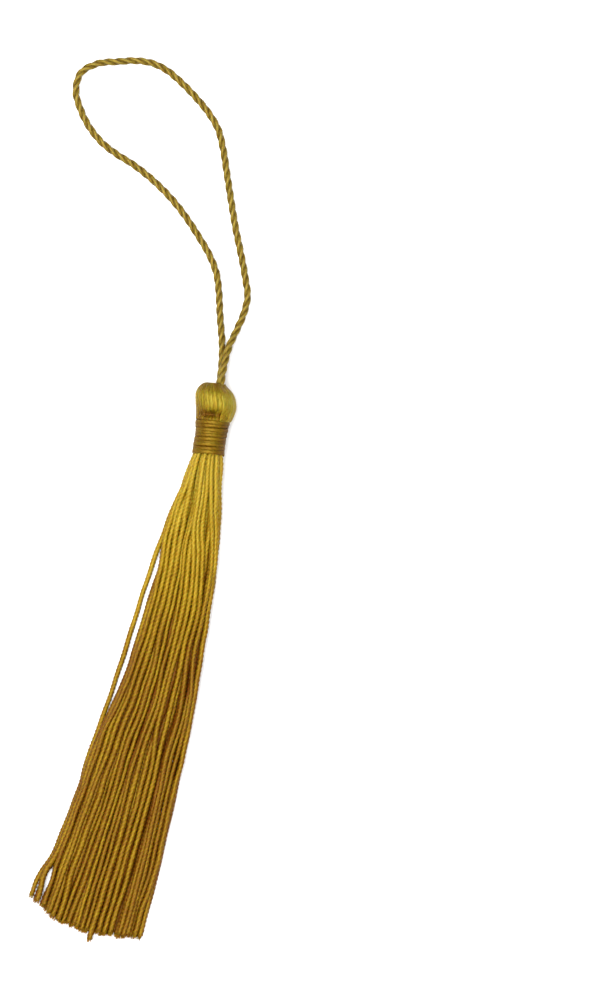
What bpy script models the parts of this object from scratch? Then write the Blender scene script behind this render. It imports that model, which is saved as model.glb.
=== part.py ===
"""Silk tassel lying on its side: a hank of twisted silk strands folded over into a
round head, bound at the neck and cut into a fan-shaped skirt, with a twisted cord
loop to hang it by. Sizes are in millimetres here and become metres in add_mesh().
+Y runs from the cut ends to the head, +Z is up from the surface it lies on."""
import math

import bmesh
import bpy
import numpy as np

MM = 0.001

# ---- sizes of the whole -----------------------------------------------------------
NECK_TOP = (0.63, 53.6)      # x, y of the neck's axis at the binding's upper edge
NECK_LEAN = 8.1              # degrees that the head and neck lean from +Y
NECK_R = 2.6                 # radius of the bound strands inside the neck
CLEAR = 0.3                  # gap between one piece and the next
CORD_D = 1.5                 # cord, over its plies
STRANDS = 64                 # strands in the skirt, besides the stray one
STRAND_GAP = 0.12            # strands stay at least this clear of one another, corner to corner

# ---- the hank's head and neck, row by row down its axis ------------------------------
# along: distance up the axis from the binding's upper edge; radius; side: how far the
# row's centre lies to the right of the axis; height: its centre above the surface;
# groove: how deep the grooves between the thread bundles are.
HEAD_COLUMNS = ("along", "radius", "side", "height", "groove")
HEAD_ROWS = (
    (7.75, 0.00, 0.60, 4.25, 0.00),
    (7.75, 1.25, 0.60, 4.25, 0.05),
    (8.10, 2.10, 0.60, 4.22, 0.12),
    (7.80, 3.05, 0.58, 4.20, 0.20),
    (6.85, 3.90, 0.53, 4.17, 0.25),
    (5.55, 4.35, 0.47, 4.15, 0.25),
    (4.15, 4.45, 0.43, 4.15, 0.25),
    (2.80, 4.30, 0.40, 4.13, 0.27),
    (1.60, 3.95, 0.36, 4.12, 0.30),
    (0.70, 3.52, 0.26, 4.10, 0.25),
    (0.12, 3.10, 0.08, 4.10, 0.10),
    (-0.05, NECK_R, 0.00, 4.10, 0.00),
    (-7.20, NECK_R, 0.00, 3.90, 0.00),
)
HEAD_BUNDLES = 22            # bundles of thread seen round the head

# ---- the skirt, section by section down its length -------------------------------------
# y; left and right: the edges of the fan; width: one strand's width there.
SKIRT_COLUMNS = ("y", "left", "right", "width")
SKIRT_ROWS = (
    (47.2, -1.00, 4.10, 0.28),
    (45.4, -0.80, 4.35, 0.28),
    (43.6, -1.95, 5.45, 0.42),
    (39.2, -2.65, 6.55, 0.49),
    (32.2, -3.35, 7.85, 0.53),
    (22.2, -3.30, 9.35, 0.58),
    (7.2, -4.00, 10.75, 0.61),
    (-7.8, -4.90, 12.05, 0.62),
    (-22.8, -7.60, 12.55, 0.62),
    (-37.8, -10.20, 13.15, 0.62),
    (-54.8, -13.10, 12.95, 0.62),
    (-62.8, -14.30, 12.75, 0.62),
)
# y and x of the one strand that strays from the left edge and comes back to it
STRAY_COLUMNS = ("y", "x")
STRAY_ROWS = (
    (25.0, -3.05), (17.5, -4.90), (7.7, -5.60), (-1.8, -6.15), (-9.5, -6.70),
    (-18.8, -7.45), (-24.1, -8.15), (-30.3, -8.60),
)
STATIONS = (47.2, 45.4, 43.6, 40.0, 35.5, 31.0, 25.0, 20.5, 11.5, -8.0, -24.5, -35.0, -54.8)
NECK_END_Y = 45.4            # the strands are held in the neck down to here
CUT_Y = -59.75               # where the middle strands are cut
CUT_CURVE = 0.022            # the cut falls short by this times x squared, at the sides
LONG_END = (1.7, -61.7)      # x of the one strand cut long, and where it ends

# ---- the binding thread -------------------------------------------------------------
# along: distance up the axis from the binding's upper edge; radius over the thread
BINDING_COLUMNS = ("along", "radius")
BINDING_ROWS = ((-0.30, 3.38), (-2.20, 3.36), (-5.00, 3.27), (-7.60, 3.22))
TURNS = 10                   # turns of thread side by side
TURN_GROOVE = 0.20           # depth between two turns
BINDING_AROUND = 32

# ---- the hanging cord -----------------------------------------------------------------
CORD_PLIES = 3
CORD_LAY = 7.0               # length in which a ply goes once round
CORD_STEPS = 12              # sections to a lay
CORD_VALLEY = 0.56           # radius between two plies
# x, y, z of the loop: up from the head, round, and back down to it
CORD_COLUMNS = ("x", "y", "z")
CORD_ROWS = (
    (0.03, 62.08, 3.30), (-0.24, 64.21, 2.42), (-0.70, 66.79, 1.55), (-1.45, 69.94, 0.95),
    (-2.59, 73.44, 0.80), (-3.80, 77.16, 0.78), (-4.95, 81.00, 0.78), (-6.55, 84.90, 0.78),
    (-8.98, 88.30, 0.78), (-11.92, 91.30, 0.78), (-15.17, 94.35, 0.78),
    (-18.56, 97.10, 0.78), (-22.26, 99.55, 0.78), (-26.14, 101.65, 0.78),
    (-29.90, 103.25, 0.78), (-33.60, 104.45, 0.78), (-37.10, 106.00, 0.78),
    (-40.40, 108.40, 0.78), (-43.40, 111.80, 0.78), (-45.50, 115.80, 0.78),
    (-45.30, 119.70, 0.78), (-42.40, 122.40, 0.78), (-38.01, 123.98, 0.78),
    (-34.30, 125.10, 0.78), (-31.00, 125.40, 0.78), (-27.80, 124.80, 0.78),
    (-23.90, 122.95, 0.78), (-19.49, 120.20, 0.78), (-16.20, 117.70, 0.78),
    (-13.60, 115.00, 0.78), (-11.60, 111.30, 0.78), (-9.24, 105.70, 0.78),
    (-5.04, 95.81, 0.78), (-0.15, 85.30, 0.78), (1.35, 81.40, 0.78),
    (1.45, 77.60, 0.82), (0.75, 73.30, 1.35), (0.20, 70.29, 2.30),
    (0.10, 66.91, 3.38), (0.20, 64.28, 4.28), (0.42, 62.02, 5.22),
)


def column(rows, columns, name):
    """One named column of a table."""
    return np.array([row[columns.index(name)] for row in rows], float)


def read(rows, columns, name, at, by):
    """A table's column read at a value of another column, which may run downwards."""
    key = column(rows, columns, by)
    sign = 1.0 if key[-1] > key[0] else -1.0
    return np.interp(sign * np.asarray(at, float), sign * key, column(rows, columns, name))


def material(name, colour, rough):
    mat = bpy.data.materials.new(name)
    mat.use_nodes = True
    shader = mat.node_tree.nodes["Principled BSDF"]
    shader.inputs["Base Color"].default_value = (*colour, 1.0)
    shader.inputs["Roughness"].default_value = rough
    return mat


def mesh_of(name, verts, faces):
    mesh = bpy.data.meshes.new(name)
    mesh.from_pydata([tuple(c * MM for c in v) for v in verts], [], faces)
    mesh.update()
    return mesh


def add_mesh(name, verts, faces, mat, home):
    """A closed solid as an object at the origin, its faces split into triangles."""
    mesh = mesh_of(name, verts, faces)
    work = bmesh.new()
    work.from_mesh(mesh)
    bmesh.ops.recalc_face_normals(work, faces=work.faces)
    bmesh.ops.triangulate(work, faces=work.faces)
    work.to_mesh(mesh)
    work.free()
    ob = bpy.data.objects.new(name, mesh)
    mesh.materials.append(mat)
    home.objects.link(ob)
    return ob


def skin(rings, close=False):
    """Faces over rings of equal count: a tube with end caps, or closed on itself."""
    count, around = len(rings), len(rings[0])
    faces = []
    for j in range(count if close else count - 1):
        a, b = j * around, (j + 1) % count * around
        for k in range(around):
            m = (k + 1) % around
            faces.append((a + k, a + m, b + m, b + k))
    if not close:
        last = (count - 1) * around
        faces.append(tuple(reversed(range(around))))
        faces.append(tuple(range(last, last + around)))
    return faces


# ---- the head and the neck ----------------------------------------------------------------
def neck_point(along, radius, angle, side=0.0, height=4.1):
    """A point round the leaning neck axis; angle 0 is to the right and 90 is up."""
    lean = math.radians(NECK_LEAN)
    up_x, up_y = -math.sin(lean), math.cos(lean)
    out = side + radius * math.cos(angle)
    return (NECK_TOP[0] + along * up_x + out * up_y,
            NECK_TOP[1] + along * up_y - out * up_x,
            max(0.0, height + radius * math.sin(angle)))


def head_solid():
    """Bundles of thread run from the dimple at the top down to the neck. The grooves
    between them differ a little, and one at the top of the lying head gapes."""
    around = 2 * HEAD_BUNDLES
    verts, faces = [], []
    for along, radius, side, height, groove in HEAD_ROWS:
        ring = []
        if radius == 0.0:
            ring.append(neck_point(along, 0.0, 0.0, side, height))
        else:
            for k in range(around):
                turn = k + 0.28 * math.sin(2.7 * k) * (groove > 0.0)
                cut = groove * (0.65 + 0.35 * math.sin(1.9 * k)) * (k % 2)
                if k == around // 4 and 0.0 < along < 3.5:
                    cut = 0.55
                ring.append(neck_point(along, radius - cut, turn * math.tau / around,
                                       side, height))
        verts.append(ring)
    flat = [v for ring in verts for v in ring]
    first = 1
    for k in range(around):
        faces.append((0, first + (k + 1) % around, first + k))
    for j in range(len(verts) - 2):
        a, b = first + j * around, first + (j + 1) * around
        for k in range(around):
            m = (k + 1) % around
            faces.append((a + k, a + m, b + m, b + k))
    last = len(flat) - around
    faces.append(tuple(reversed(range(last, len(flat)))))
    return flat, faces


# ---- the skirt --------------------------------------------------------------------------------
def skirt(name, y):
    return read(SKIRT_ROWS, SKIRT_COLUMNS, name, y, "y")


def lay_strands(step=0.5):
    """Where each strand lies in each section. They start packed in a round bundle in
    the neck. Section by section the bundle takes the fan's width, sinks to the surface,
    and neighbours push one another apart until they are clear."""
    count = STRANDS + 1
    index = np.arange(count) + 0.5
    reach = (NECK_R - 0.22) * np.sqrt(index / count)
    turn = index * math.pi * (3.0 - math.sqrt(5.0))
    ys = np.arange(STATIONS[0], SKIRT_ROWS[-1][0], -step)
    x = (skirt("left", ys[0]) + skirt("right", ys[0])) / 2 + reach * np.cos(turn)
    z = 3.9 + reach * np.sin(turn)
    stray = int(np.argmin(x + 0.3 * z))
    place = (np.argsort(np.argsort(x)) + 0.5) / count
    lays = [np.stack([x, z], 1)]
    for y0, y in zip(ys[:-1], ys[1:]):
        width = skirt("width", y)
        a0, b0 = skirt("left", y0), skirt("right", y0)
        a, b = skirt("left", y), skirt("right", y)
        grow = (b - a - width) / (b0 - a0 - skirt("width", y0))
        x = a + width / 2 + (x - a0 - skirt("width", y0) / 2) * grow
        fallen = NECK_END_Y - y
        if 0.0 < fallen < 1.8:
            z = 3.85 + (z - 3.9) * grow
        elif fallen > 0.0:
            z = z - 0.16 * step
            x += 0.03 * step * min(1.0, fallen / 10) * (a + (b - a) * place - x)
        low = np.full(count, a + width / 2)
        high = np.full(count, b - width / 2)
        if STRAY_ROWS[-1][0] < y < STRAY_ROWS[0][0]:
            low[stray] = high[stray] = read(STRAY_ROWS, STRAY_COLUMNS, "x", y, "y")
        room = math.sqrt(2.0) * width + STRAND_GAP
        for _ in range(25):
            dx, dz = x[:, None] - x[None, :], z[:, None] - z[None, :]
            far = np.sqrt(dx * dx + dz * dz) + np.eye(count) * 9.0
            push = np.clip(room - far, 0.0, None) * 0.35 / far
            x = np.clip(x + (push * dx).sum(1), low, high)
            z = z + (push * dz).sum(1)
            if fallen > 0.0:
                z = np.maximum(z, width / 2)
            else:
                off = np.hypot(x - (a + b) / 2, z - 3.9)
                back = np.minimum(1.0, (NECK_R - 0.22) / np.maximum(off, 0.01))
                x, z = (a + b) / 2 + (x - (a + b) / 2) * back, 3.9 + (z - 3.9) * back
        lays.append(np.stack([x, z], 1))
    return ys, np.array(lays)


def cut_ends(ys, lays):
    """Where each strand is cut: a shallow curve across the fan, never quite even."""
    x = lays[int(np.argmin(abs(ys + 58.0))), :, 0]
    index = np.arange(len(x))
    ends = CUT_Y + CUT_CURVE * x * x + 0.8 * np.sin(2.4 * index) * np.cos(1.1 * index)
    top = lays[int(np.argmin(abs(ys + 58.0))), :, 1]
    ends[int(np.argmin(abs(x - LONG_END[0]) - 0.5 * top))] = LONG_END[1]
    return ends


def strand_solids():
    """Each strand is a square tube with a flat side down, from inside the neck to its
    cut end. They are clear of one another."""
    ys, lays = lay_strands()
    ends = cut_ends(ys, lays)
    verts, faces = [], []
    for i, end in enumerate(ends):
        rings = []
        for y in (*STATIONS, end):
            at = float(np.interp(-y, -ys, np.arange(len(ys))))
            k = min(int(at), len(ys) - 2)
            x, z = lays[k, i] + (at - k) * (lays[k + 1, i] - lays[k, i])
            half = float(skirt("width", y)) / 2
            low = 0.0 if z < half + 0.01 else z - half
            rings.append([(x - half, y, low), (x + half, y, low),
                          (x + half, y, low + 2 * half), (x - half, y, low + 2 * half)])
        base = len(verts)
        verts += [v for ring in rings for v in ring]
        faces += [tuple(base + k for k in face) for face in skin(rings)]
    return verts, faces


# ---- the binding --------------------------------------------------------------------------------
def binding_solid():
    """Ten turns of thread side by side as one ribbed ring round the neck."""
    top, bottom = BINDING_ROWS[0][0], BINDING_ROWS[-1][0]
    pitch = (top - bottom) / TURNS
    profile = [(top, NECK_R + CLEAR)]
    for turn in range(TURNS):
        edge, crest = top - turn * pitch, top - (turn + 0.5) * pitch
        profile.append((edge, read(BINDING_ROWS, BINDING_COLUMNS, "radius", edge, "along")
                        - TURN_GROOVE))
        profile.append((crest, read(BINDING_ROWS, BINDING_COLUMNS, "radius", crest, "along")
                        + 0.04 * math.sin(5.0 * turn)))
    profile.append((bottom, BINDING_ROWS[-1][1] - TURN_GROOVE))
    profile.append((bottom, NECK_R + CLEAR))
    rings = []
    for k in range(BINDING_AROUND):
        angle = k * math.tau / BINDING_AROUND
        ring = []
        for row, (along, radius) in enumerate(profile):
            inside = row in (0, len(profile) - 1)
            slide = 0.0 if inside else 0.07 * math.sin(angle + 0.8 * row)
            height = 4.1 + 0.2 * along / 7.2
            ring.append(neck_point(along + slide * (row not in (1, len(profile) - 2)),
                                   float(radius), angle, 0.0, height))
        rings.append(ring)
    return [v for ring in rings for v in ring], skin(rings, close=True)


# ---- the cord -------------------------------------------------------------------------------------
def smooth_route(points, spacing):
    """A smooth curve through the route's points, read at even steps of its length."""
    p = np.array(points, float)
    gaps = np.linalg.norm(np.diff(p, axis=0), axis=1)
    knots = np.concatenate([[0.0], np.cumsum(gaps)])
    slope = np.gradient(p, knots, axis=0)
    fine = []
    for i in range(len(p) - 1):
        h = knots[i + 1] - knots[i]
        for t in np.linspace(0.0, 1.0, 24, endpoint=False):
            fine.append((2 * t**3 - 3 * t**2 + 1) * p[i] + (t**3 - 2 * t**2 + t) * h * slope[i]
                        + (3 * t**2 - 2 * t**3) * p[i + 1] + (t**3 - t**2) * h * slope[i + 1])
    fine = np.array(fine + [p[-1]])
    run = np.concatenate([[0.0], np.cumsum(np.linalg.norm(np.diff(fine, axis=0), axis=1))])
    at = np.linspace(0.0, run[-1], int(round(run[-1] / spacing)) + 1)
    return np.stack([np.interp(at, run, fine[:, c]) for c in range(3)], 1), run[-1]


def carried_frames(route):
    """Two directions across the route, carried along it without turning about it."""
    along = np.gradient(route, axis=0)
    along /= np.linalg.norm(along, axis=1)[:, None]
    side = np.cross(along[0], (0.0, 0.0, 1.0))
    side /= np.linalg.norm(side)
    frames = []
    for t in along:
        side = side - t * np.dot(side, t)
        side /= np.linalg.norm(side)
        frames.append((side.copy(), np.cross(t, side)))
    return frames


def cord_solid():
    """Three plies laid in a right-handed twist, as a six-sided star section that turns
    as it goes along the loop."""
    route, _ = smooth_route(CORD_ROWS, CORD_LAY / CORD_STEPS)
    rings = []
    for j, (centre, (u, v)) in enumerate(zip(route, carried_frames(route))):
        ring = []
        for k in range(2 * CORD_PLIES):
            angle = math.tau * (k / (2 * CORD_PLIES) + j / CORD_STEPS)
            radius = CORD_D / 2 if k % 2 == 0 else CORD_VALLEY
            p = centre + radius * (math.cos(angle) * u + math.sin(angle) * v)
            ring.append((p[0], p[1], max(0.0, p[2])))
        rings.append(ring)
    return [v for ring in rings for v in ring], skin(rings)


# ---- put together ---------------------------------------------------------------------------------
for old in list(bpy.data.objects):
    bpy.data.objects.remove(old, do_unlink=True)
home = bpy.data.collections.new("silk_tassel")
bpy.context.scene.collection.children.link(home)

gold = material("gold_silk", (0.62, 0.42, 0.08), 0.45)
wound = material("gold_binding_thread", (0.46, 0.28, 0.05), 0.50)
corded = material("gold_cord", (0.55, 0.38, 0.10), 0.50)

hank = add_mesh("tassel_hank", *head_solid(), gold, home)
strands = add_mesh("strands", *strand_solids(), gold, home)
join = hank.modifiers.new("join", "BOOLEAN")
join.operation, join.solver, join.object = "UNION", "EXACT", strands
bpy.context.view_layer.update()
joined = bpy.data.meshes.new_from_object(hank.evaluated_get(bpy.context.evaluated_depsgraph_get()))
hank.modifiers.clear()
hank.data = joined
bpy.data.objects.remove(strands, do_unlink=True)
clean = bmesh.new()
clean.from_mesh(joined)
bmesh.ops.triangulate(clean, faces=clean.faces)
clean.to_mesh(joined)
clean.free()

add_mesh("neck_binding", *binding_solid(), wound, home)
add_mesh("hanging_cord", *cord_solid(), corded, home)
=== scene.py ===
"""Silk tassel lying on a table. Sizes and places are in millimetres, +Y runs from the cut
ends to the head and +Z is up. They become metres when a piece is made, in new_piece()."""
import math

import bmesh
import bpy
import numpy as np
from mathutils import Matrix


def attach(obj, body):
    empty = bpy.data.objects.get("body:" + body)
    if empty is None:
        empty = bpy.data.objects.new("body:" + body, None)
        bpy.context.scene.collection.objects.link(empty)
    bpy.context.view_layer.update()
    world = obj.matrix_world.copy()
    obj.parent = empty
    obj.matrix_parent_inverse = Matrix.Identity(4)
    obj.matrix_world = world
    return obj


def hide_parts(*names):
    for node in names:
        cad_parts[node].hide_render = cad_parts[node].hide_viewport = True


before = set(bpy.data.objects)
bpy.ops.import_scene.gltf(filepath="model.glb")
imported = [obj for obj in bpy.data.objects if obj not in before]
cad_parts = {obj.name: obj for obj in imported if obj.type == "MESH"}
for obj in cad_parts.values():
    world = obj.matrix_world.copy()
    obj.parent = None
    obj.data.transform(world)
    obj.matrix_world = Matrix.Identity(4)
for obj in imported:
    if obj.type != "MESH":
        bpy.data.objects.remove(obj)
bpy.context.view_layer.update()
MM = 0.001

# ---- the camera, the table and the lamps -----------------------------------------------
# The tassel lies on a plain white table top. The camera hangs straight above it on a
# long lens. A wide soft lamp hangs over it, a little to the left, and gives the silk its
# sheen, with a much weaker one to the right and a pale sky all round.
VIEW_CENTRE = (23.05, 41.34)   # x, y of the table under the middle of the view
VIEW_SPAN = 216.7              # how much of the table the view's long side takes in
VIEW_TURN = 14.0               # degrees that the camera is turned
VIEW_UP = 1200.0               # how high it hangs
SENSOR = 36.0                  # width of its sensor
TABLE = 6000.0                 # width of the table top

camera = bpy.data.objects.new("camera", bpy.data.cameras.new("camera"))
camera.data.sensor_width = SENSOR
camera.data.lens = SENSOR * VIEW_UP / VIEW_SPAN
camera.data.clip_start, camera.data.clip_end = 0.05, 20.0
camera.location = (VIEW_CENTRE[0] * MM, VIEW_CENTRE[1] * MM, VIEW_UP * MM)
camera.rotation_euler = (0.0, 0.0, math.radians(VIEW_TURN))
bpy.context.collection.objects.link(camera)
bpy.context.scene.camera = camera
bpy.context.scene.view_settings.view_transform = "Standard"


def nodes_of(material):
    """A material's node tree, its shader, and short ways to add and to join nodes."""
    material.use_nodes = True
    tree = material.node_tree
    shader = tree.nodes["Principled BSDF"]

    def add(kind, **settings):
        node = tree.nodes.new(kind)
        for name, value in settings.items():
            if hasattr(node, name):
                setattr(node, name, value)
            else:
                node.inputs[name.replace("_", " ").capitalize()].default_value = value
        return node

    return shader, add, tree.links.new


table_white = bpy.data.materials.new("table_white")
shader, add, join = nodes_of(table_white)
grain = add("ShaderNodeTexNoise", Scale=60.0, Detail=2.0)
tint = add("ShaderNodeValToRGB")
tint.color_ramp.elements[0].color = (0.86, 0.86, 0.86, 1.0)
tint.color_ramp.elements[1].color = (0.90, 0.90, 0.895, 1.0)
place = add("ShaderNodeTexCoord")
join(place.outputs["Object"], grain.inputs["Vector"])
join(grain.outputs["Fac"], tint.inputs["Fac"])
join(tint.outputs["Color"], shader.inputs["Base Color"])
shader.inputs["Roughness"].default_value = 0.9
shader.inputs["Specular IOR Level"].default_value = 0.1

work = bmesh.new()
bmesh.ops.create_grid(work, x_segments=1, y_segments=1, size=TABLE / 2 * MM)
table = bpy.data.objects.new("table_top", bpy.data.meshes.new("table_top"))
work.to_mesh(table.data)
work.free()
table.data.materials.append(table_white)
bpy.context.collection.objects.link(table)

LAMPS = (                      # name, where it stands from the tassel, width, watts
    ("key_lamp", (-280.0, 40.0, 1310.0), 1000.0, 35.0),
    ("fill_lamp", (500.0, -300.0, 900.0), 700.0, 2.0),
)
for name, stand, width, watts in LAMPS:
    lamp = bpy.data.objects.new(name, bpy.data.lights.new(name, "AREA"))
    lamp.data.energy = watts
    lamp.data.size = width * MM
    lamp.location = [c * MM for c in stand]
    lamp.rotation_euler = (-lamp.location).to_track_quat("-Z", "Y").to_euler()
    bpy.context.collection.objects.link(lamp)
sky = bpy.data.worlds.new("soft_white")
sky.use_nodes = True
nodes, join = sky.node_tree.nodes, sky.node_tree.links.new
aim = nodes.new("ShaderNodeTexCoord")
height = nodes.new("ShaderNodeSeparateXYZ")
dome = nodes.new("ShaderNodeValToRGB")
dome.color_ramp.elements[0].color = (0.22, 0.22, 0.22, 1.0)     # at the horizon
dome.color_ramp.elements[1].color = (1.0, 1.0, 1.0, 1.0)        # overhead
join(aim.outputs["Generated"], height.inputs["Vector"])
join(height.outputs["Z"], dome.inputs["Fac"])
join(dome.outputs["Color"], nodes["Background"].inputs["Color"])
nodes["Background"].inputs["Strength"].default_value = 0.75
bpy.context.scene.world = sky

# ---- the hanging cord ------------------------------------------------------------------
# A limp cord of three silk plies in a right-handed twist. Its two ends are knotted inside
# the head, and the loop between them lies on the table, thrown to one side.
CORD_R = 0.80                  # out to the crest of a ply
CORD_PLY = 0.53                # a ply's radius for the cord's
CORD_LAY = 7.0                 # length in which a ply goes once round
CORD_SECTIONS = 30             # sections to a lay
CORD_ROUTE = (                 # x, y, z of the loop: up from the head, round, back to it
    (0.03, 62.08, 3.30), (-0.24, 64.21, 2.42), (-0.70, 66.79, 1.55), (-1.45, 69.94, 0.95),
    (-2.59, 73.44, 0.80), (-3.80, 77.16, 0.78), (-4.95, 81.00, 0.78), (-6.55, 84.90, 0.78),
    (-8.98, 88.30, 0.78), (-11.92, 91.30, 0.78), (-15.17, 94.35, 0.78),
    (-18.56, 97.10, 0.78), (-22.26, 99.55, 0.78), (-26.14, 101.65, 0.78),
    (-29.90, 103.25, 0.78), (-33.60, 104.45, 0.78), (-37.10, 106.00, 0.78),
    (-40.40, 108.40, 0.78), (-43.40, 111.80, 0.78), (-45.50, 115.80, 0.78),
    (-45.30, 119.70, 0.78), (-42.40, 122.40, 0.78), (-38.01, 123.98, 0.78),
    (-34.30, 125.10, 0.78), (-31.00, 125.40, 0.78), (-27.80, 124.80, 0.78),
    (-23.90, 122.95, 0.78), (-19.49, 120.20, 0.78), (-16.20, 117.70, 0.78),
    (-13.60, 115.00, 0.78), (-11.60, 111.30, 0.78), (-9.24, 105.70, 0.78),
    (-5.04, 95.81, 0.78), (-0.15, 85.30, 0.78), (1.35, 81.40, 0.78),
    (1.45, 77.60, 0.82), (0.75, 73.30, 1.35), (0.20, 70.29, 2.30),
    (0.10, 66.91, 3.38), (0.20, 64.28, 4.28), (0.42, 62.02, 5.22),
)
KNOTTED_ENDS = ((0.20, 60.40, 3.70), (0.50, 60.40, 4.90))   # inside the head


def smooth_route(points, spacing):
    """A smooth curve through the route's points, read at even steps of its length."""
    p = np.array(points, float)
    painted_gap_shade = np.linalg.norm(np.diff(p, axis=0), axis=1)
    knots = np.concatenate([[0.0], np.cumsum(painted_gap_shade)])
    slope = np.gradient(p, knots, axis=0)
    fine = []
    for i in range(len(p) - 1):
        h = knots[i + 1] - knots[i]
        for t in np.linspace(0.0, 1.0, 24, endpoint=False):
            fine.append((2 * t**3 - 3 * t**2 + 1) * p[i] + (t**3 - 2 * t**2 + t) * h * slope[i]
                        + (3 * t**2 - 2 * t**3) * p[i + 1] + (t**3 - t**2) * h * slope[i + 1])
    fine = np.array(fine + [p[-1]])
    run = np.concatenate([[0.0], np.cumsum(np.linalg.norm(np.diff(fine, axis=0), axis=1))])
    at = np.linspace(0.0, run[-1], int(round(run[-1] / spacing)) + 1)
    return np.stack([np.interp(at, run, column) for column in fine.T], 1), run[-1]


def frames_along(route, sides=None):
    """Two directions across the route: one carried along it without turning about it,
    or the sides given, and one square to that."""
    along = np.gradient(route, axis=0)
    along /= np.linalg.norm(along, axis=1)[:, None]
    if sides is None:
        side = np.cross(along[0], (0.0, 0.0, 1.0))
        sides = []
        for t in along:
            side = side - t * np.dot(side, t)
            side /= np.linalg.norm(side)
            sides.append(side)
    return np.array(sides), np.cross(along, sides)


def straight_yarn(plies, ply_radius, around, turns, steps):
    """A straight yarn of radius 1 and length 1: a net of faces rolled up into a tube,
    drawn in between the plies, and turned about its axis as it climbs."""
    yarn = bmesh.new()
    bmesh.ops.create_grid(yarn, x_segments=around, y_segments=steps, size=0.5)
    middle = 1.0 - ply_radius
    for vert in yarn.verts:
        angle, climb = math.tau * (vert.co.x + 0.5), vert.co.y + 0.5
        off = (angle + math.pi / plies) % (math.tau / plies) - math.pi / plies
        bulge = max(0.0, ply_radius**2 - (middle * math.sin(off)) ** 2)
        reach = middle * math.cos(off) + math.sqrt(bulge)
        angle += math.tau * turns * climb
        vert.co = (reach * math.cos(angle), reach * math.sin(angle), climb)
    bmesh.ops.remove_doubles(yarn, verts=yarn.verts, dist=0.00001)
    bmesh.ops.holes_fill(yarn, edges=[e for e in yarn.edges if e.is_boundary], sides=0)
    bmesh.ops.recalc_face_normals(yarn, faces=yarn.faces)
    for face in yarn.faces:
        face.smooth = len(face.verts) == 4
    mesh = bpy.data.meshes.new("straight_yarn")
    yarn.to_mesh(mesh)
    yarn.free()
    return mesh


def points_of(mesh):
    """A mesh's points as an array."""
    flat = np.empty(3 * len(mesh.vertices))
    mesh.vertices.foreach_get("co", flat)
    return flat.reshape(-1, 3)


def bend(yarn, route, radius, phase=0.0, sides=None, flat=1.0):
    """The straight yarn's points carried onto a route, at the radius given along it.
    flat is how thick the yarn is for its width, where it is pressed."""
    side, up = frames_along(route, sides)
    at = np.clip(yarn[:, 2], 0.0, 1.0) * (len(route) - 1)
    rows = np.arange(len(route))
    thick = np.interp(at, rows, np.broadcast_to(radius, rows.shape))
    x = thick * (yarn[:, 0] * math.cos(phase) - yarn[:, 1] * math.sin(phase))
    y = thick * (yarn[:, 0] * math.sin(phase) + yarn[:, 1] * math.cos(phase)) * flat
    points = np.stack([np.interp(at, rows, route[:, c]) + x * np.interp(at, rows, side[:, c])
                       + y * np.interp(at, rows, up[:, c]) for c in range(3)], 1)
    points[:, 2] = np.maximum(points[:, 2], 0.0)
    return points


def fibres(yarn, turns, radius, length, start=0.0):
    """Coordinates that follow the fibres: round the yarn with its twist undone, and
    along it. A pattern read at them runs lengthwise in the plies."""
    angle = np.arctan2(yarn[:, 1], yarn[:, 0]) - math.tau * turns * yarn[:, 2]
    return np.stack([radius * np.cos(angle) + start, radius * np.sin(angle),
                     yarn[:, 2] * length + start], 1)


def new_piece(name, mesh, points, fibre, tone, material):
    """An object of this mesh with its points in place. fibre and tone are kept on the
    points for the silk's pattern; tone also carries painted shade and light."""
    mesh.vertices.foreach_set("co", (points * MM).ravel())
    mesh.attributes.new("fibre", "FLOAT_VECTOR", "POINT").data.foreach_set("vector", fibre.ravel())
    mesh.attributes.new("tone", "FLOAT", "POINT").data.foreach_set("value", tone)
    mesh.name = name
    mesh.update()
    mesh.materials.append(material)
    piece = bpy.data.objects.new(name, mesh)
    bpy.context.collection.objects.link(piece)
    return piece


SHADE_PLACES = (0.02, 0.24, 0.40, 0.54, 0.80)   # dark, deep, dull, middle, bright


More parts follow.
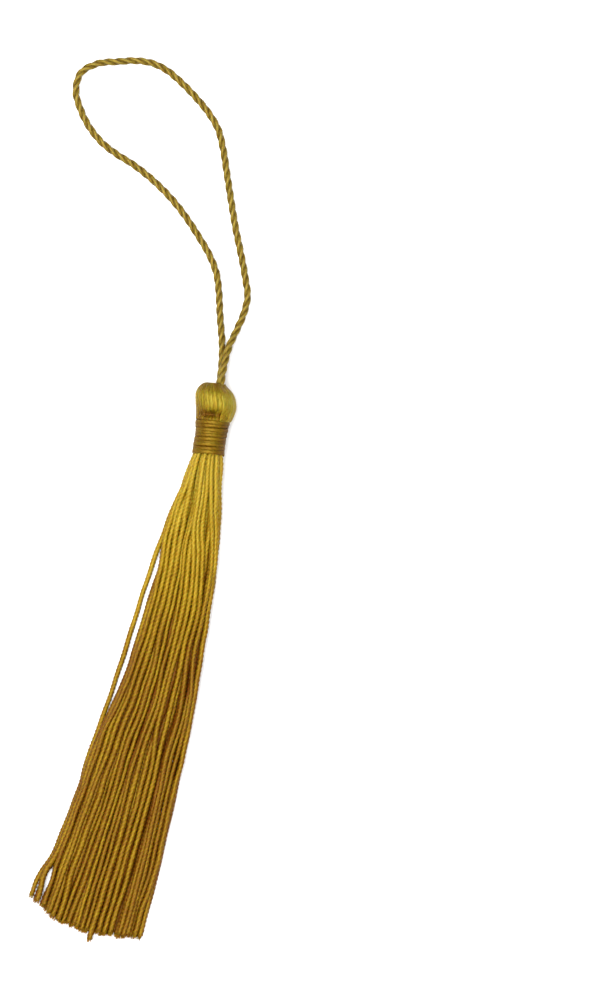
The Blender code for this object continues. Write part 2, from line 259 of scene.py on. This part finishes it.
def silk(name, shades, roughness, fine, lustre):
    """Twisted silk: long fine streaks along the fibres that run through the shades, from
    the deepest to the brightest, a tone from the points that differs from strand to strand
    and carries painted shade and light, and fibres raised just enough to break up the
    gloss. fine is how many streaks a millimetre has."""
    material = bpy.data.materials.new(name)
    shader, add, join = nodes_of(material)
    fibre = add("ShaderNodeAttribute", attribute_name="fibre")
    tone = add("ShaderNodeAttribute", attribute_name="tone")
    stretch = add("ShaderNodeMapping")
    stretch.inputs["Scale"].default_value = (fine, fine, 0.8)
    join(fibre.outputs["Vector"], stretch.inputs["Vector"])
    streaks = add("ShaderNodeTexNoise", Scale=1.0, Detail=3.0, Roughness=0.6)
    join(stretch.outputs["Vector"], streaks.inputs["Vector"])
    slow = add("ShaderNodeMapping")
    slow.inputs["Scale"].default_value = (0.5, 0.5, 0.12)
    join(fibre.outputs["Vector"], slow.inputs["Vector"])
    patches = add("ShaderNodeTexNoise", Scale=1.0, Detail=1.0)
    join(slow.outputs["Vector"], patches.inputs["Vector"])
    both = add("ShaderNodeMath", operation="MULTIPLY_ADD")
    both.inputs[1].default_value = 0.80
    join(streaks.outputs["Fac"], both.inputs[0])
    join(tone.outputs["Fac"], both.inputs[2])
    shade = add("ShaderNodeMath", operation="MULTIPLY_ADD")
    shade.inputs[1].default_value = 0.20
    join(patches.outputs["Fac"], shade.inputs[0])
    join(both.outputs["Value"], shade.inputs[2])
    colour = add("ShaderNodeValToRGB")
    colour.color_ramp.elements[0].position = SHADE_PLACES[0]
    colour.color_ramp.elements[1].position = SHADE_PLACES[-1]
    for place in SHADE_PLACES[1:-1]:
        colour.color_ramp.elements.new(place)
    for element, shade_colour in zip(colour.color_ramp.elements, shades):
        element.color = (*shade_colour, 1.0)
    join(shade.outputs["Value"], colour.inputs["Fac"])
    join(colour.outputs["Color"], shader.inputs["Base Color"])
    gloss = add("ShaderNodeMapRange")
    gloss.inputs["To Min"].default_value = roughness - 0.08
    gloss.inputs["To Max"].default_value = roughness + 0.10
    join(streaks.outputs["Fac"], gloss.inputs["Value"])
    join(gloss.outputs["Result"], shader.inputs["Roughness"])
    raised = add("ShaderNodeBump", Strength=0.5, Distance=0.00008)
    join(streaks.outputs["Fac"], raised.inputs["Height"])
    join(raised.outputs["Normal"], shader.inputs["Normal"])
    shader.inputs["Metallic"].default_value = lustre
    shader.inputs["Subsurface Weight"].default_value = 0.7
    shader.inputs["Subsurface Radius"].default_value = (1.0, 0.40, 0.08)
    shader.inputs["Subsurface Scale"].default_value = 0.0009
    shader.inputs["Specular IOR Level"].default_value = 0.35
    shader.inputs["Specular Tint"].default_value = (1.0, 0.84, 0.34, 1.0)
    return material


gold_cord = silk("gold_cord", ((0.03, 0.014, 0.001), (0.065, 0.032, 0.002),
                               (0.105, 0.063, 0.004), (0.16, 0.110, 0.012),
                               (0.28, 0.205, 0.040)), 0.45, 14.0, 0.30)
loop, loop_length = smooth_route(CORD_ROUTE, CORD_LAY / CORD_SECTIONS)
route, route_length = smooth_route((KNOTTED_ENDS[0], *CORD_ROUTE, KNOTTED_ENDS[1]),
                                   CORD_LAY / CORD_SECTIONS)
turns = route_length / CORD_LAY
mesh = straight_yarn(3, CORD_PLY, 27, turns, len(route) - 1)
yarn = points_of(mesh)
# Painted shade in the grooves between the plies, and painted light on their crests.
grooves = 0.9 * (np.hypot(yarn[:, 0], yarn[:, 1]) - 0.85)
cord = new_piece("silk_cord_loop", mesh, bend(yarn, route, CORD_R),
                 fibres(yarn, turns, CORD_R, route_length), grooves, gold_cord)
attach(cord, "root")
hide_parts("hanging_cord")

# ---- the skirt -------------------------------------------------------------------------
# Fifty-six three-ply silk strands, the ends of the hank that is folded over at the head.
# They leave the binding packed tight, fan out and sink to the table, and are cut to one
# length but for a long one. One strays from the left edge, and a few swing out below it.
STRANDS = 56
NECK_R = 3.05                  # radius of the strands inside the binding
NECK_END_Y = 46.6              # where the binding lets them go
NECK_HEIGHT = 3.9              # the height of the neck's axis there
SKIRT_COLUMNS = ("y", "left", "right", "yarn", "room")
SKIRT_ROWS = (                 # edges of the fan; a strand's radius; strand to strand
    (47.2, -1.60, 4.60, 0.40, 0.66),
    (46.5, -1.80, 4.90, 0.43, 0.68),
    (45.8, -2.20, 5.35, 0.50, 0.73),
    (45.0, -2.45, 5.65, 0.56, 0.78),
    (43.4, -2.62, 5.95, 0.61, 0.84),
    (38.6, -3.05, 6.75, 0.64, 0.92),
    (33.0, -3.65, 7.72, 0.65, 0.99),
    (27.5, -3.90, 8.55, 0.65, 1.06),
    (19.7, -3.25, 9.65, 0.65, 1.12),
    (8.8, -4.05, 10.65, 0.66, 1.18),
    (-2.0, -4.50, 11.55, 0.66, 1.22),
    (-9.5, -5.50, 12.10, 0.66, 1.25),
    (-17.6, -7.40, 12.45, 0.66, 1.28),
    (-31.2, -8.97, 12.95, 0.66, 1.30),
    (-45.1, -10.68, 13.10, 0.66, 1.30),
    (-62.8, -12.88, 12.75, 0.65, 1.30),
)
SWING_ROWS = (                 # y, and how far the outermost strands swing out past the fan
    (-43.0, 0.0), (-45.1, 0.04), (-48.7, 0.90), (-52.3, 1.55), (-55.5, 1.52), (-62.8, 1.45),
)
SWING_REACH = 1.6              # strands this far in from the edge follow it a third as far
STRAY_ROWS = (                 # y and x of the strand that strays and comes back
    (36.0, -2.75), (30.2, -3.55), (24.7, -4.15), (19.2, -4.73), (13.8, -5.10),
    (8.4, -5.42), (2.9, -5.70), (-2.5, -6.05), (-8.0, -6.45), (-14.1, -7.02),
    (-21.0, -7.72), (-27.8, -8.28),
)
GAP_COLUMNS = ("y", "left", "right")
GAP_ROWS = (                   # the slim gap beside the strands that swing out
    (-47.6, -9.95, -9.95),
    (-49.4, -10.35, -9.80),
    (-50.9, -10.55, -9.65),
    (-52.3, -10.60, -9.85),
    (-53.6, -10.25, -10.25),
)
CUT_Y = -59.75                 # where the middle strands are cut
CUT_CURVES = (0.027, 0.009)    # it falls short by this times x squared, left and right
CUT_UNEVEN = 0.45              # how far off that curve a strand is cut, at most
LONG_END = (1.7, -61.7)        # x of the one strand cut long, and where it ends
STRAND_PLY = 0.59              # a ply's radius for the strand's
STRAND_LAYS = (2.7, 2.9, 3.2)  # they are not all twisted quite alike
STRAND_STEPS = 380             # sections in a strand
ROUTE_POINTS = 150             # points on a strand's way
FLATTENED = 0.80               # a strand's thickness for its width
LET_GO = 1.8                   # length below the binding in which the bundle only widens
SINK = 0.16                    # how far a strand then falls in a millimetre, if it can
DRIFT = 0.08                   # how fast a strand makes for its own place across the fan
WANDER = 0.11                  # how far a strand slides sideways in a millimetre, at most
CALMER = 0.45                  # the share of that which is left near the cut ends
PARTED, PARTINGS = 0.35, 25    # neighbours part by this share of what they overlap, so often
SETTLED = (                    # y, and the share of its height that the pile keeps there
    (-62.0, 0.46), (-40.0, 0.58), (-20.0, 0.66), (10.0, 0.80), (45.0, 1.0),
)
BOTTOM = 0.62                  # the height of its bottom row, which doesn't sink
LOW_FROM = 42.0                # from this y down, painted shade darkens the skirt, over as many millimetres
SKIRT_SHADE, SKIRT_PAINTED_SHADE = 0.27, 0.35   # the shade above that, and how much deeper the painted shade makes it below


def skirt(name, y):
    """One column of the skirt's table, read at y."""
    rows = np.array(SKIRT_ROWS)
    return np.interp(-np.asarray(y, float), -rows[:, 0], rows[:, SKIRT_COLUMNS.index(name)])


def gap(name, y):
    """One side of the gap, read at y."""
    rows = np.array(GAP_ROWS)
    return np.interp(-y, -rows[:, 0], rows[:, GAP_COLUMNS.index(name)])


def swing(y):
    """How far the outermost strands have swung out past the fan at y."""
    rows = np.array(SWING_ROWS)
    return np.interp(-y, -rows[:, 0], rows[:, 1])


def lay_strands(rng, fullness, step=0.5):
    """Where each strand lies in each section. They start packed in a round bundle in
    the neck. Section by section the bundle takes the fan's width and sinks to the table,
    the strands wander a little in threes, and neighbours push one another apart."""
    index = np.arange(STRANDS) + 0.5
    reach = (NECK_R - skirt("yarn", 50.0)) * np.sqrt(index / STRANDS)
    turn = index * math.pi * (3.0 - math.sqrt(5.0))
    ys = np.arange(SKIRT_ROWS[0][0], SKIRT_ROWS[-1][0], -step)
    x = (skirt("left", ys[0]) + skirt("right", ys[0])) / 2 + reach * np.cos(turn)
    z = NECK_HEIGHT + reach * np.sin(turn)
    # The stray comes from the left of the neck, low down. The rest keep their order across
    # the neck, where a high strand counts as further right than a low one beside it.
    stray = int(np.argmin(x + 0.3 * z))
    rank = (np.argsort(np.argsort(x + 0.6 * z)) + 0.5) / STRANDS
    three = (rank * STRANDS / 3).astype(int)
    waves = rng.uniform(20.0, 42.0, STRANDS)[three], rng.uniform(0.0, math.tau, STRANDS)[three]
    needs = (fullness[:, None] + fullness[None, :]) / 2
    lays = [np.stack([x, z], 1)]
    for y0, y in zip(ys[:-1], ys[1:]):
        r = skirt("yarn", y)
        a0, b0 = skirt("left", y0), skirt("right", y0)
        a, b = skirt("left", y), skirt("right", y)
        grow = (b - a - 2 * r) / (b0 - a0 - 2 * skirt("yarn", y0))
        x = a + r + (x - a0 - skirt("yarn", y0)) * grow
        fallen = NECK_END_Y - y
        if fallen < LET_GO:
            z = NECK_HEIGHT + (z - NECK_HEIGHT) * grow
        else:
            z = z - SINK * step
            x += DRIFT * step * min(1.0, fallen / 4) * (a + r + (b - a - 2 * r) * rank - x)
            calm = np.interp(y, (-45.0, -10.0), (CALMER, 1.0))
            slide = WANDER * step * min(1.0, fallen / 10) * calm
            x += slide * np.sin(math.tau * y / waves[0] + waves[1])
        x -= (swing(y) - swing(y0)) * np.exp(-np.clip(x - a, 0.0, None) / SWING_REACH)
        low, high = np.full(STRANDS, a - swing(y) + r), np.full(STRANDS, b - r)
        if STRAY_ROWS[-1][0] < y < STRAY_ROWS[0][0]:
            stray_y, stray_x = np.array(STRAY_ROWS).T
            low[stray] = high[stray] = np.interp(-y, -stray_y, stray_x)
        if y0 > GAP_ROWS[0][0]:
            swung = x < GAP_ROWS[0][1] + r
        elif y > GAP_ROWS[-1][0]:
            high[swung] = gap("left", y) - r
            low[~swung] = gap("right", y) + r
        for _ in range(PARTINGS):
            dx, dz = x[:, None] - x[None, :], z[:, None] - z[None, :]
            far = np.sqrt(dx * dx + dz * dz) + np.eye(STRANDS) * 9.0    # none pushes itself
            push = np.clip(skirt("room", y) * needs - far, 0.0, None) * PARTED / far
            x = np.clip(x + (push * dx).sum(1), low, high)
            z = z + (push * dz).sum(1)
            if fallen > 0.0:
                z = np.maximum(z, r)
            else:
                off = np.hypot(x - (a + b) / 2, z - NECK_HEIGHT)
                back = np.minimum(1.0, (NECK_R - r) / np.maximum(off, 0.01))
                x = (a + b) / 2 + (x - (a + b) / 2) * back
                z = NECK_HEIGHT + (z - NECK_HEIGHT) * back
        lays.append(np.stack([x, z], 1))
    lays = np.array(lays)
    sunk = np.interp(ys, *np.array(SETTLED).T)[:, None]
    lays[:, :, 1] = BOTTOM + (lays[:, :, 1] - BOTTOM) * sunk
    return ys, lays, stray


def cut_ends(ys, lays):
    """Where each strand is cut: a shallow curve across the fan, never quite even."""
    x, top = lays[int(np.argmin(abs(ys + 58.0)))].T
    index = np.arange(STRANDS)
    ends = CUT_Y + np.where(x < 0.0, *CUT_CURVES) * x * x
    ends += CUT_UNEVEN * np.sin(2.4 * index) * np.cos(1.1 * index)
    ends[int(np.argmin(abs(x - LONG_END[0]) - 0.5 * top))] = LONG_END[1]
    return ends


def pile_heights(lays):
    """How high the pile stands over each strand, and how low it lies under it, in each
    section. A strand that is off to one side counts for less."""
    apart = 1.6 * (lays[:, :, None, 0] - lays[:, None, :, 0]) ** 2
    return (lays[:, None, :, 1] - apart).max(2), (lays[:, None, :, 1] + apart).min(2)


def eased(ys, column, at, width=9):
    """A strand's column, smoothed over a few millimetres and read at the places given."""
    ease = np.hanning(width + 2)[1:-1]
    padded = np.pad(column, width // 2, mode="edge")
    return np.interp(-at, -ys, np.convolve(padded, ease / ease.sum(), "valid"))


def joined(meshes):
    """One mesh holding all of these."""
    many = bmesh.new()
    for mesh in meshes:
        many.from_mesh(mesh)
    whole = bpy.data.meshes.new("joined")
    many.to_mesh(whole)
    many.free()
    return whole


gold_silk = silk("gold_silk", ((0.105, 0.026, 0.0001), (0.122, 0.047, 0.0003),
                               (0.165, 0.086, 0.001), (0.232, 0.136, 0.003),
                               (0.310, 0.216, 0.018)), 0.50, 4.0, 0.25)
rng = np.random.default_rng(7)
fullness = rng.uniform(0.80, 1.16, STRANDS)
section_ys, lays, stray = lay_strands(rng, fullness)
tops, feet = pile_heights(lays)
ends = cut_ends(section_ys, lays)
strand_length = section_ys[0] - CUT_Y
yarns = [straight_yarn(3, STRAND_PLY, 9, strand_length / lay, STRAND_STEPS)
         for lay in STRAND_LAYS]
order = np.argsort(lays[-1][:, 0])
strand_ends = []
for part, chosen in enumerate(np.array_split(order, 4)):
    points, fibre, tone = [], [], []
    for i in chosen:
        yarn = points_of(yarns[i % len(STRAND_LAYS)])
        y = np.linspace(section_ys[0], ends[i], ROUTE_POINTS)
        loose = np.clip((NECK_END_Y - y) / 12.0, 0.0, 1.0)
        low_down = np.clip((LOW_FROM - y) / LOW_FROM, 0.0, 1.0)
        ripple = 0.09 * loose * (1.0 - 0.5 * low_down)
        ripple *= np.sin(math.tau * y / rng.uniform(7.0, 14.0) + 2.0 * i)
        route = np.stack([eased(section_ys, lays[:, i, 0], y) + ripple, y,
                          eased(section_ys, lays[:, i, 1], y)], 1)
        slub = 1.0 + 0.05 * np.sin(math.tau * y / rng.uniform(9.0, 23.0) + 5.0 * i)
        radius = skirt("yarn", y) * fullness[i] * slub
        shade = SKIRT_SHADE + rng.uniform(-0.05, 0.05) * (1.0 + 0.5 * low_down)
        # Painted shade: the strand is darker low down, towards the cut ends.
        shade -= SKIRT_PAINTED_SHADE * low_down
        if i == stray:
            shade, radius = shade + 0.10, 0.97 * radius
        points.append(bend(yarn, route, radius, rng.uniform(0.0, math.tau), flat=FLATTENED))
        fibre.append(fibres(yarn, 0.0, 0.55, strand_length, 17.0 * i))
        # Painted shade: darker the deeper it lies in the pile and in its ply grooves, a little
        # lighter on the ply crests.
        at, rows = yarn[:, 2] * (ROUTE_POINTS - 1), np.arange(ROUTE_POINTS)
        half = FLATTENED * np.interp(at, rows, radius)
        top = np.interp(at, rows, eased(section_ys, tops[:, i], y)) + half
        foot = np.interp(at, rows, eased(section_ys, feet[:, i], y)) - half
        depth = np.minimum(top - points[-1][:, 2], points[-1][:, 2] - foot)
        groove = 0.90 - np.hypot(yarn[:, 0], yarn[:, 1])
        painted_gap_shade = np.interp(at, rows, 0.08 + 0.50 * low_down) * np.clip(depth, 0.0, 1.0)
        painted_gap_shade += np.interp(at, rows, 1.2 - 0.9 * low_down) * groove
        tone.append(np.interp(at, rows, shade) - painted_gap_shade)
        strand_ends.append((i, route[-1], route[-1] - route[-4], radius[-1], shade[-1] - 0.1))
    piece = new_piece("skirt_strands_%d" % (part + 1),
                      joined([yarns[i % len(STRAND_LAYS)] for i in chosen]),
                      np.concatenate(points), np.concatenate(fibre), np.concatenate(tone),
                      gold_silk)
    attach(piece, "root")
    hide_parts("tassel_hank")

# ---- the brushes at the cut ends -------------------------------------------------------
# Where a strand is cut its silk fibres come apart into a small brush: short tufts that
# start inside the strand, stand out past its end by different lengths and spread a little.
BRUSH = 14                     # tufts at a strand's end
tuft = straight_yarn(1, 1.0, 3, 0.0, 4)
yarn = points_of(tuft)
points, fibre, tone = [], [], []
for i, tip, run, radius, shade in strand_ends:
    run = run / np.linalg.norm(run)
    for k in range(BRUSH):
        angle = math.tau * k / BRUSH + rng.uniform(-0.4, 0.4)
        out = np.array((math.cos(angle), 0.0, math.sin(angle)))
        length = rng.uniform(0.1, 0.8)
        spread = radius * rng.uniform(0.2, 0.85)
        way = [tip - 0.6 * run + spread * out, tip + spread * out,
               tip + length * run + (spread + length * rng.uniform(-0.2, 0.4)) * out]
        way, _ = smooth_route(way, 0.3)
        way[:, 2] = np.maximum(way[:, 2], 0.10)
        points.append(bend(yarn, way, np.linspace(0.15, 0.07, len(way))))
        fibre.append(fibres(yarn, 0.0, 0.1, 2.0, 3.0 * i + k))
        tone.append(np.full(len(yarn), shade + rng.uniform(-0.1, 0.1)))
brush = new_piece("cut_end_fibres", joined([tuft] * len(points)), np.concatenate(points),
                  np.concatenate(fibre), np.concatenate(tone), gold_silk)
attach(brush, "root")
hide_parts("tassel_hank")

# ---- the head --------------------------------------------------------------------------
# The middle of the hank, folded over a knot so that its strands run from the dimple where
# the cord leaves, over the round shoulder and down under the binding. They lie side by
# side over more strands inside, and on the upper side the binding draws them in deepest.
NECK_TOP = (0.63, 53.6)        # x, y of the neck's axis at the binding's upper edge
NECK_LEAN = 8.1                # degrees that the head leans from +Y
HEAD_ROWS = (                  # up the axis from the binding; radius; centre's side, height
    (6.10, 0.75, 0.60, 4.25),
    (7.30, 1.05, 0.55, 4.25),
    (7.85, 1.45, 0.35, 4.24),
    (8.03, 1.85, 0.00, 4.23),
    (7.93, 2.25, -0.33, 4.22),
    (7.60, 2.68, -0.50, 4.20),
    (7.10, 3.20, -0.46, 4.18),
    (6.50, 3.72, -0.30, 4.17),
    (5.90, 4.12, -0.16, 4.15),
    (4.70, 4.40, 0.09, 4.15),
    (3.40, 4.46, 0.32, 4.14),
    (2.10, 4.31, 0.39, 4.13),
    (0.90, 4.06, 0.27, 4.12),
    (0.05, 3.88, 0.14, 4.10),
    (-0.35, 3.45, 0.08, 4.10),
    (-1.60, 2.95, 0.00, 4.06),
)
HEAD_STRANDS = 60
HEAD_LAY = 4.0                 # length in which their plies go once round
HEAD_PLY = 0.82                # a ply's radius for the strand's
HEAD_SECTIONS = 80             # points on a strand's way
HEAD_FLATTENED = 0.35          # their thickness for their width
DRAWN_AT = math.radians(103.0)  # they are drawn in deepest here, a little left of the top,
DRAWN_WIDE = 0.62              # this far round to each side, in radians,
DRAWN_ROW, DRAWN_LONG = 1.20, 0.80   # at this place on the axis, this far up and down,
DRAWN_IN = 1.15                # and this deep


def neck_points(along, radius, angle, side, height):
    """Points round the leaning neck axis; angle 0 is to the right and 90 is up."""
    lean = math.radians(NECK_LEAN)
    out = side + radius * np.cos(angle)
    return np.stack([NECK_TOP[0] - along * math.sin(lean) + out * math.cos(lean),
                     NECK_TOP[1] + along * math.cos(lean) + out * math.sin(lean),
                     height + radius * np.sin(angle)], -1)


def round_the_neck(angle):
    """The direction round the neck at an angle."""
    return neck_points(0.0, 1.0, angle + math.pi / 2, 0.0, 0.0) - neck_points(
        0.0, 0.0, angle, 0.0, 0.0)


outline, head_length = smooth_route(HEAD_ROWS, 0.02)
outline = outline[np.linspace(0, len(outline) - 1, HEAD_SECTIONS).astype(int)]
along, radius, side, height = outline.T
run_along, run_out = np.gradient(along), np.gradient(radius)
run = np.hypot(run_along, run_out)
outward = run_out / run, -run_along / run       # of the outline: along, and out

head_turns = head_length / HEAD_LAY
straight = straight_yarn(2, HEAD_PLY, 8, head_turns, 90)
yarn = points_of(straight)
pinch = np.exp(-((along - DRAWN_ROW) / DRAWN_LONG) ** 2) * (run_along < 0)
# Painted shade makes a strand darker at the binding and in the dimple, and a painted sheen
# makes it brightest on the shoulder. Below the shoulder, painted light and shade make it
# brighter on the right of the head than on the left.
shaded = 0.08 * np.clip((1.8 - along) / 1.8, 0.0, 1.0)
shaded += 0.16 * np.clip((along - 5.8) / 1.5, 0.0, 1.0)
sheen = 0.16 * np.exp(-((along - 4.4) / 1.6) ** 2) * (run_along < 0)
painted_side_shading = 0.13 * np.clip((5.6 - along) / 1.5, 0.0, 1.0) * (run_along < 0)
points, fibre, tone = [], [], []
# A strand is about twice as wide as its share of the round, so it overlaps its neighbours.
# Its outside is on the outline, but for one in five that lies a little deeper.
for i in range(HEAD_STRANDS):
    angle = math.tau * (i + 0.22 * math.sin(2.7 * i)) / HEAD_STRANDS + rng.uniform(-0.02, 0.02)
    drift = rng.uniform(-0.09, 0.09) * np.linspace(-1.0, 1.0, len(along))
    drawn = math.exp(-((angle - DRAWN_AT) / DRAWN_WIDE) ** 2)
    wide = np.clip(2.1 * math.pi * radius / HEAD_STRANDS, 0.15, 0.50)
    sunk = 0.06 * (rng.uniform(0.0, 1.0) < 0.2)
    under = 0.36 * wide + rng.uniform(-0.02, 0.03) + sunk
    where = neck_points(along - outward[0] * under,
                        radius - outward[1] * under - DRAWN_IN * drawn * pinch,
                        angle + drift, side, height)
    where[:, 2] = np.maximum(where[:, 2], 0.7 * wide)
    sides = round_the_neck(angle + drift)
    points.append(bend(yarn, where, wide, rng.uniform(0.0, math.tau), sides, HEAD_FLATTENED))
    fibre.append(fibres(yarn, head_turns, 0.3, head_length, 23.0 * i))
    # Painted shade darkens a strand where the binding draws the head in, and the one in five that
    # lies deeper.
    shade = 0.03 + rng.uniform(-0.09, 0.09) + sheen - 0.38 * drawn * pinch - shaded - sunk
    shade += painted_side_shading * math.cos(angle)
    tone.append(np.interp(yarn[:, 2] * (HEAD_SECTIONS - 1), np.arange(HEAD_SECTIONS), shade))
head = new_piece("head_strands", joined([straight] * HEAD_STRANDS), np.concatenate(points),
                 np.concatenate(fibre), np.concatenate(tone), gold_silk)
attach(head, "root")
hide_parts("tassel_hank")

# ---- the strands inside the head -------------------------------------------------------
# More silk strands of the same hank fill the head. They show only as one dark mass between
# the outer ones, so they are one turned form that follows the head's outline under them.
CORE_UNDER = 0.45              # how far under the outline it lies
CORE_DRAWN = 1.25              # and how much deeper where the binding draws the head in
CORE_LEAST = 0.3               # its least radius
# The inner mass is painted darker than the outer strands: painted shade.
CORE_PAINTED_SHADE = -0.35
core = bmesh.new()
inner = np.maximum(radius - CORE_UNDER - CORE_DRAWN * pinch, CORE_LEAST)[::3]
chain = [core.verts.new((0.0, 0.0, float(along[0])))]
chain += [core.verts.new((float(r), 0.0, float(a))) for a, r in zip(along[::3], inner)]
chain += [core.verts.new((0.0, 0.0, float(along[::3][-1])))]
for one, two in zip(chain[:-1], chain[1:]):
    core.edges.new((one, two))
bmesh.ops.spin(core, geom=core.verts[:] + core.edges[:], cent=(0.0, 0.0, 0.0),
               axis=(0.0, 0.0, 1.0), angle=math.tau, steps=48, use_merge=True)
bmesh.ops.remove_doubles(core, verts=core.verts, dist=0.0001)
bmesh.ops.recalc_face_normals(core, faces=core.faces)
# The spin leaves its faces in no fixed order, so they are given one, by where they lie.
core.faces.sort(key=lambda face: face.calc_center_median().dot((1.0, 100.0, 10000.0)))
for face in core.faces:
    face.smooth = True
mesh = bpy.data.meshes.new("core")
core.to_mesh(mesh)
core.free()
turned = points_of(mesh)
angle = np.arctan2(turned[:, 1], turned[:, 0])
down = [-row[0] for row in HEAD_ROWS[3:]]
points = neck_points(turned[:, 2], np.hypot(turned[:, 0], turned[:, 1]), angle,
                     np.interp(-turned[:, 2], down, [row[2] for row in HEAD_ROWS[3:]]),
                     np.interp(-turned[:, 2], down, [row[3] for row in HEAD_ROWS[3:]]))
points[:, 2] = np.maximum(points[:, 2], 0.25)
inside = new_piece("head_inside", mesh, points,
                   np.stack([3.0 * np.cos(angle), 3.0 * np.sin(angle), turned[:, 2]], 1),
                   np.full(len(points), CORE_PAINTED_SHADE), gold_silk)
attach(inside, "root")
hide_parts("tassel_hank")

# ---- the binding -----------------------------------------------------------------------
# A soft two-ply thread of a darker gold, wound round the neck ten times and pressed
# flat, each turn tight against the last.
BINDING_TOP, BINDING_FOOT = -0.08, -7.65
BINDING_ROWS = (               # place on the neck's axis, and the radius over the thread
    (-0.30, 3.78), (-1.20, 3.67), (-2.50, 3.48), (-4.50, 3.46), (-7.60, 3.53),
)
BINDING_PAINTED_SHADING = (             # painted shade and light from side to side: -1 is the left and 1 the right
    (-1.0, -0.10), (-0.4, -0.05), (0.3, 0.06), (0.6, -0.05), (1.0, -0.32),
)
TURNS = 10
TURN_STEPS = 64                # points on its way, to a turn
THREAD_LAY = 2.1               # length in which its plies go once round
THREAD_PLY = 0.84              # a ply's radius for the thread's
THREAD_FLATTENED = 0.34        # the thread's thickness for its width
gold_binding = silk("gold_binding_thread", ((0.050, 0.013, 0.0002), (0.085, 0.029, 0.0003),
                                            (0.118, 0.056, 0.0008), (0.152, 0.083, 0.002),
                                            (0.200, 0.122, 0.005)), 0.48, 8.0, 0.36)
pitch = (BINDING_TOP - BINDING_FOOT) / (TURNS + 1)
wide = 0.72 * pitch            # half its width, so each turn presses on the next
angle = np.linspace(0.0, math.tau * TURNS, TURN_STEPS * TURNS + 1)
along = np.linspace(BINDING_TOP - pitch / 2, BINDING_FOOT + pitch / 2, len(angle))
over = np.interp(-along, [-row[0] for row in BINDING_ROWS], [row[1] for row in BINDING_ROWS])
# No turn is quite even: it stands out here and there, and wanders up and down the neck.
uneven = 0.07 * np.sin(0.83 * angle) * np.sin(0.31 * angle)
along = along + 0.12 * np.sin(1.07 * angle) * np.sin(0.37 * angle) + 0.09 * np.sin(0.31 * angle)
route = neck_points(along, over - wide * THREAD_FLATTENED + uneven, angle,
                    0.04 * along, 4.1 + 0.03 * along)
wound_length = float(np.linalg.norm(np.diff(route, axis=0), axis=1).sum())
thread_turns = wound_length / THREAD_LAY
straight = straight_yarn(2, THREAD_PLY, 10, thread_turns, 2 * (len(angle) - 1))
yarn = points_of(straight)
down_the_neck = np.broadcast_to(neck_points(-1.0, 0.0, 0.0, 0.0, 0.0)
                                - neck_points(0.0, 0.0, 0.0, 0.0, 0.0), (len(angle), 3))
wound = yarn[:, 2] * math.tau * TURNS
# Painted shade on the thread's sides, where each turn meets the next, with its outer face a little
# lighter; the slow wave along it is the thread's own uneven tone.
shade = 0.12 * (np.clip(yarn[:, 1], 0.0, 1.0) - 0.7) + 0.05 * np.sin(0.43 * wound + 1.0)
shade += np.interp(np.cos(wound), *np.array(BINDING_PAINTED_SHADING).T)
binding = new_piece("binding_thread", straight,
                    bend(yarn, route, wide, 0.0, down_the_neck, THREAD_FLATTENED),
                    fibres(yarn, thread_turns, 0.3, wound_length), shade, gold_binding)
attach(binding, "root")
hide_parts("neck_binding")
